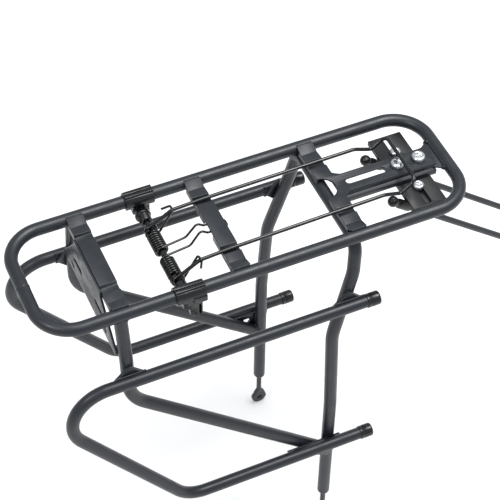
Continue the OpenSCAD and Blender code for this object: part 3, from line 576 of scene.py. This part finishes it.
# %% Soft-edged copies
def softened(node, width, bend=9):
    """A copy of a CAD node, merged, with flat faces rejoined and each edge that turns by more than
    bend degrees rounded to that width in mm."""
    shape = bmesh.new()
    shape.from_mesh(frame["nodes"][node].data)
    bmesh.ops.remove_doubles(shape, verts=shape.verts, dist=2e-6)
    bmesh.ops.dissolve_limit(shape, angle_limit=math.radians(1), verts=shape.verts, edges=shape.edges)
    mesh = bpy.data.meshes.new(node + "_soft")
    shape.to_mesh(mesh)
    shape.free()
    mesh.materials.clear()
    mesh.shade_smooth()
    obj = piece(node + "_soft", mesh, node)
    edge = obj.modifiers.new("soft edge", "BEVEL")
    edge.width, edge.segments, edge.limit_method = width * MM, 2, "ANGLE"
    edge.angle_limit = math.radians(bend)
    edge.use_clamp_overlap = False
    edge.harden_normals = True
    return obj


SHEET_EDGE, BLOCK_BEND = 0.45, 30
pressed = ["rear_bridge", "middle_bridge", "front_bridge", "lamp_plate", "crossbar", "backing_plate"]
paired = {"webs": 0.5, "foot_web": 0.5, "spring_bracket": 0.7, "stay_hanger": 0.3, "stay_barrel": 0.4}
for node in pressed:
    softened(node, SHEET_EDGE)
for stem, width in paired.items():
    for where in ("left", "right"):
        softened(f"{stem}_{where}", width, BLOCK_BEND)

# %% [markdown]
# ## Weld beads
# Where tubes meet, the welder leaves a low bead with small ripples. For a tube end on another tube
# the bead follows the curve where the two cylinders cross; elsewhere it is a short straight line.
# The bead's radius swells and shrinks along its length, which gives the ripples.

# %% Where two tubes meet
def crossing(centre, way, radius, through, axis, big, toward, count=96):
    """The curve where a tube meets another. From each point of the small tube's ring, go along its
    direction by s until the distance to the big tube's axis is its radius: the quadratic
    |q + s w|^2 = R^2, with q and w the parts square to that axis. The root nearest toward is kept."""
    way, axis = unit(np.asarray(way, float)), unit(np.asarray(axis, float))
    n = unit(np.cross(way, axis))
    a = np.linspace(0, 2 * math.pi, count, endpoint=False)[:, None]
    ring = np.asarray(centre, float) + radius * (np.cos(a) * n + np.sin(a) * np.cross(way, n))
    q = ring - through
    q = q - (q @ axis)[:, None] * axis
    w = way - (way @ axis) * axis
    half_b, c = q @ w, (q * q).sum(1) - big ** 2
    root = np.sqrt(np.maximum(half_b ** 2 - (w @ w) * c, 0))
    return ring + ((-half_b + toward * root) / (w @ w))[:, None] * way


RIPPLE, SWELL = 1.9, 0.16      # length of a ripple, and its height as a share of the radius


def bead(line, size=1.15, closed=True):
    """A rippled bead: radius size (1 + SWELL cos(2 pi length / RIPPLE)). On a closed line the
    ripple's length is adjusted to fit a whole number of them."""
    steps = np.linalg.norm(np.diff(np.vstack([line, line[:1]]), axis=0), axis=1)
    length = np.r_[0, np.cumsum(steps)[:-1]]
    whole = steps.sum() if closed else length[-1]
    ripples = max(1, round(whole / RIPPLE)) if closed else whole / RIPPLE
    radius = size * (1 + SWELL * np.cos(2 * math.pi * ripples * length / whole))
    return carried(line, radius, sides=12, closed=closed), closed


# %% The beads
beads = []


def straight(a, b, size, count=60):
    """Adds a bead on the line from a to b."""
    beads.append(bead(np.linspace(a, b, count), size=size, closed=False))


for s in (1, -1):
    m = np.array([1, s, 1])
    beads.append(bead(crossing(rear[0] * m, (rear[1] - rear[0]) * m, TUBE / 2,
                               np.array([0, s * half_w, 0]), (1, 0, 0), TUBE / 2, 1)))
    beads.append(bead(crossing(rear[3] * m, (rear[3] - rear[2]) * m, TUBE / 2,
                               FOOT * m, (0, 0, 1), TUBE / 2, -1)))
    for x in (REAR, MIDDLE, FRONT):
        y, reach = s * (half_w - 3.2), BRIDGE / 2 - 0.8
        straight([x - reach, y, 5.75], [x + reach, y, 5.75], 0.95)
    for x in (rear_leg_x, 73.0):
        y = s * (RAIL_Y - HOOP / 2 + 2.6)
        for z in (RAIL_Z - HOOP / 2 + 0.4, RAIL_Z + HOOP / 2 - 0.4):
            straight([x - 14, y, z], [x + 14, y, z], 1.1)
    y, z = s * (LOW_Y - HOOP / 2 + 0.8), LOW_Z - HOOP / 2 + 1.6
    straight([FOOT[0] - 32, y, z], [FOOT[0] + 9, y, z], 1.1)
tab = half_l - TUBE / 2        # where the tongue's front edge meets the deck tube
straight([tab + 0.4, -17, 3.1], [tab + 0.4, 17, 3.1], 0.8)
for s in (1, -1):
    straight([tab - 2.2, s * 16, 1.9], [tab + 0.6, s * 17.4, 1.6], 2.2, count=24)
piece("weld_beads", skin("weld_beads", beads), body="rack_frame", slot="frame_paint")

# %% [markdown]
# ## Finishes
# Colours are given as sRGB hex and turned to linear by one function. `add` makes a shader node with
# its settings and links.

# %% Colour and node helpers
def linear(hex_colour):
    """sRGB to linear: c / 12.92 below 0.04045, else ((c + 0.055) / 1.055) ^ 2.4."""
    c = np.array([int(hex_colour[i:i + 2], 16) for i in (1, 3, 5)]) / 255
    return (*np.where(c <= 0.04045, c / 12.92, ((c + 0.055) / 1.055) ** 2.4).tolist(), 1.0)


def add(tree, kind, inputs=None, **settings):
    """Adds a node. inputs maps a socket to a value, or to the output socket that feeds it."""
    made = tree.nodes.new(kind)
    for key, value in settings.items():
        setattr(made, key, value)
    for key, value in (inputs or {}).items():
        if isinstance(value, bpy.types.NodeSocket):
            tree.links.new(value, made.inputs[key])
        else:
            made.inputs[key].default_value = value
    return made


MOTTLE, SMEAR = 60.0, 9.0      # sizes in mm of the colour's mottle and of the roughness's drift


def finish(name, dark, light, rough, grain_mm, grain_depth_mm, metallic=0.0, wear=0.06, **constants):
    """A coated or moulded surface: a slow mottle between two close colours, a roughness that wanders
    between two values, and a fine grain of the given size and depth as bump."""
    material = bpy.data.materials.new(name)
    material.use_nodes = True
    tree = material.node_tree
    shader = tree.nodes["Principled BSDF"]
    place = add(tree, "ShaderNodeTexCoord").outputs["Object"]
    mottle = add(tree, "ShaderNodeTexNoise", {"Vector": place, "Scale": 1 / (MOTTLE * MM),
                                              "Detail": 4.0, "Roughness": 0.6})
    tint = add(tree, "ShaderNodeMix", {"Factor": mottle.outputs["Fac"]}, data_type="RGBA")
    tint.inputs[6].default_value, tint.inputs[7].default_value = linear(dark), linear(light)
    tree.links.new(tint.outputs[2], shader.inputs["Base Color"])
    smear = add(tree, "ShaderNodeTexNoise", {"Vector": place, "Scale": 1 / (SMEAR * MM),
                                             "Detail": 3.0})
    spread = add(tree, "ShaderNodeMapRange", {
        "Value": smear.outputs["Fac"], "From Min": 0.3, "From Max": 0.7,
        "To Min": rough - wear, "To Max": rough + wear})
    tree.links.new(spread.outputs["Result"], shader.inputs["Roughness"])
    grain = add(tree, "ShaderNodeTexNoise", {"Vector": place, "Scale": 1 / (grain_mm * MM),
                                             "Detail": 2.0})
    bump = add(tree, "ShaderNodeBump", {"Height": grain.outputs["Fac"], "Strength": 1.0,
                                        "Distance": grain_depth_mm * MM})
    tree.links.new(bump.outputs["Normal"], shader.inputs["Normal"])
    shader.inputs["Metallic"].default_value = metallic
    for socket, value in constants.items():
        shader.inputs[socket.replace("_", " ")].default_value = value
    return material


# %% [markdown]
# - **Powder coat, satin black**: sprayed and baked on the welded frame. It pools into an orange peel
#   about a millimetre across, so reflections break up softly.
# - **Dip-coated spring wire**: thin gloss black, nearly smooth, with a sharp line of light.
# - **Moulded nylon, gloss black**: the clamps and caps, with a faint sink and flow pattern.
# - **E-coat, matt black**: the crossbar and its hangers, fine and dry like paper.
# - **Bright zinc**: the screws and barrels, slightly mottled and a little blue.
# - **Dipped rubber**: the boots, dark and soft, with a low sheen.

# %% The finishes
looks = {
    "frame_paint": finish("powder_coat_satin_black", "#161a20", "#1c2128", 0.38, 1.0, 0.012),
    "black_wire": finish("dip_coat_gloss_black", "#08090a", "#0d0e10", 0.16, 1.6, 0.003,
                         wear=0.04, Coat_Weight=0.2, Coat_Roughness=0.05),
    "black_plastic": finish("moulded_nylon_gloss_black", "#0b0d0f", "#111316", 0.24, 3.5, 0.004,
                            wear=0.05),
    "matte_bracket": finish("e_coat_matt_black", "#0b0c0e", "#121316", 0.5, 0.8, 0.03),
    "zinc": finish("bright_zinc", "#c3c6ca", "#d8dadc", 0.26, 0.8, 0.006, metallic=1.0, wear=0.08),
    "boot_rubber": finish("dipped_rubber", "#090a0b", "#0e0f11", 0.3, 0.7, 0.006),
}
for slot, objects in finishes.items():
    for obj in objects:
        obj.data.materials.clear()
        obj.data.materials.append(looks[slot])
shown = [n for n, o in frame["nodes"].items() if not o.hide_render]
for n in shown:
    for place in frame["nodes"][n].material_slots:
        place.material = looks[SLOT[n]]
print("CAD nodes still showing:", shown)

# %% [markdown]
# ## Floor, light and camera
# A plain pale floor, a wide soft light from above with a small one beside it that draws the bright
# lines along the tubes, a weaker one from the side, and a pale sky. The camera is a long lens from
# behind the rack's right side, looking down at the deck.

# %% Floor
FLOOR = 6.0                    # half the floor's side, in metres
floor_z = cad_low.z - MM
floor_mesh = bpy.data.meshes.new("floor")
floor_corners = [(-FLOOR, -FLOOR, floor_z), (FLOOR, -FLOOR, floor_z),
                 (FLOOR, FLOOR, floor_z), (-FLOOR, FLOOR, floor_z)]
floor_mesh.from_pydata(floor_corners, [], [(0, 1, 2, 3)])
floor = bpy.data.objects.new("floor", floor_mesh)
bpy.context.scene.collection.objects.link(floor)
floor_paint = bpy.data.materials.new("pale_floor")
floor_paint.use_nodes = True
floor_shader = floor_paint.node_tree.nodes["Principled BSDF"]
floor_shader.inputs["Base Color"].default_value = linear("#f4f4f4")
floor_shader.inputs["Roughness"].default_value = 0.8
floor_mesh.materials.append(floor_paint)

# %% Light
world = bpy.data.worlds.new("studio")
bpy.context.scene.world = world
world.use_nodes = True
sky = world.node_tree.nodes["Background"]
sky.inputs["Color"].default_value = linear("#f6f8fb")
sky.inputs["Strength"].default_value = 0.7
centre = (cad_low + cad_high) / 2


def lamp(name, place, size, power):
    """A square area light at place, in metres from the rack's centre, aimed at it."""
    light = bpy.data.lights.new(name, "AREA")
    light.size, light.energy = size, power
    obj = bpy.data.objects.new(name, light)
    obj.location = centre + Vector(place)
    obj.rotation_euler = (-Vector(place)).to_track_quat("-Z", "Y").to_euler()
    bpy.context.scene.collection.objects.link(obj)


lamp("overhead", (0.55, -0.1, 2.0), 1.5, 36)
lamp("strip", (0.55, -0.15, 1.9), 0.3, 6)
lamp("side", (-1.3, -0.3, 1.6), 0.5, 9)

# %% Camera
camera_data = bpy.data.cameras.new("camera")
camera_data.lens, camera_data.sensor_width = 120.9, 36
camera = bpy.data.objects.new("camera", camera_data)
stand, aim = Vector((-0.4614, -0.8962, 1.4870)), Vector((-0.06635, -0.03623, 0.395))
ROLL = math.radians(0.95)
turn = (aim - stand).to_track_quat("-Z", "Y").to_matrix() @ Matrix.Rotation(ROLL, 3, "Z")
camera.matrix_world = Matrix.Translation(stand) @ turn.to_4x4()
bpy.context.scene.collection.objects.link(camera)
bpy.context.scene.camera = camera
bpy.context.scene.view_settings.view_transform = "Standard"
